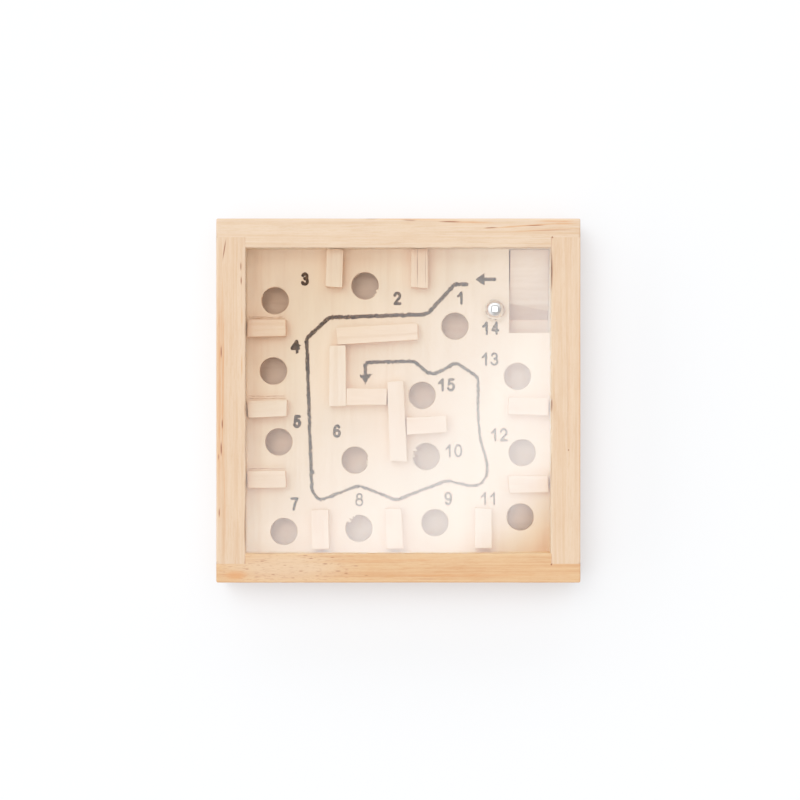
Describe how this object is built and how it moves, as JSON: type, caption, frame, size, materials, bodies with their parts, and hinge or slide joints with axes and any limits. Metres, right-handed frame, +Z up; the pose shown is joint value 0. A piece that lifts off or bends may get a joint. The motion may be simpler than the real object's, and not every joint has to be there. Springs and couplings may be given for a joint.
{
  "type": "tilt maze game",
  "caption": "Square wooden tilt maze: a steel ball rolls under a clear cover between glued strips and past drop holes, and comes back up a ramp from a lower chamber.",
  "frame": {"origin": "centre of the underside", "axes": "+Z up out of the clear cover, +X right, +Y towards the rail beside the return opening"},
  "size_m": [0.106, 0.106, 0.025],
  "materials": {
    "pine_rail": "sanded bare pine",
    "amber_pine_rail": "sanded bare pine, darker grain",
    "base_ply": "bare thin plywood",
    "floor_ply": "bare plywood with a printed route",
    "wall_strip_wood": "bare sawn strip",
    "ramp_wood": "bare sawn softwood",
    "clear_sheet": "clear polished plastic sheet",
    "polished_steel": "polished"
  },
  "bodies": {
    "box": {"back_rail": "pine_rail", "front_rail": "amber_pine_rail", "left_rail": "pine_rail", "right_rail": "pine_rail", "base_panel": "base_ply", "maze_floor": "floor_ply", "clear_cover": "clear_sheet", "return_ramp": "ramp_wood", "back_left_wall": "wall_strip_wood", "back_right_wall": "wall_strip_wood", "left_back_wall": "wall_strip_wood", "left_middle_wall": "wall_strip_wood", "left_front_wall": "wall_strip_wood", "front_left_wall": "wall_strip_wood", "front_middle_wall": "wall_strip_wood", "front_right_wall": "wall_strip_wood", "right_middle_wall": "wall_strip_wood", "right_front_wall": "wall_strip_wood", "centre_back_wall": "wall_strip_wood", "centre_left_wall": "wall_strip_wood", "centre_short_wall": "wall_strip_wood", "centre_spine_wall": "wall_strip_wood", "centre_right_wall": "wall_strip_wood"},
    "ball": {"steel_ball": "polished_steel"}
  },
  "joints": [
    {"name": "ball_roll", "type": "slide", "parent": "box", "child": "ball", "axis": [0, 1, 0], "range_m": [-0.0545, 0.014]}
  ]
}
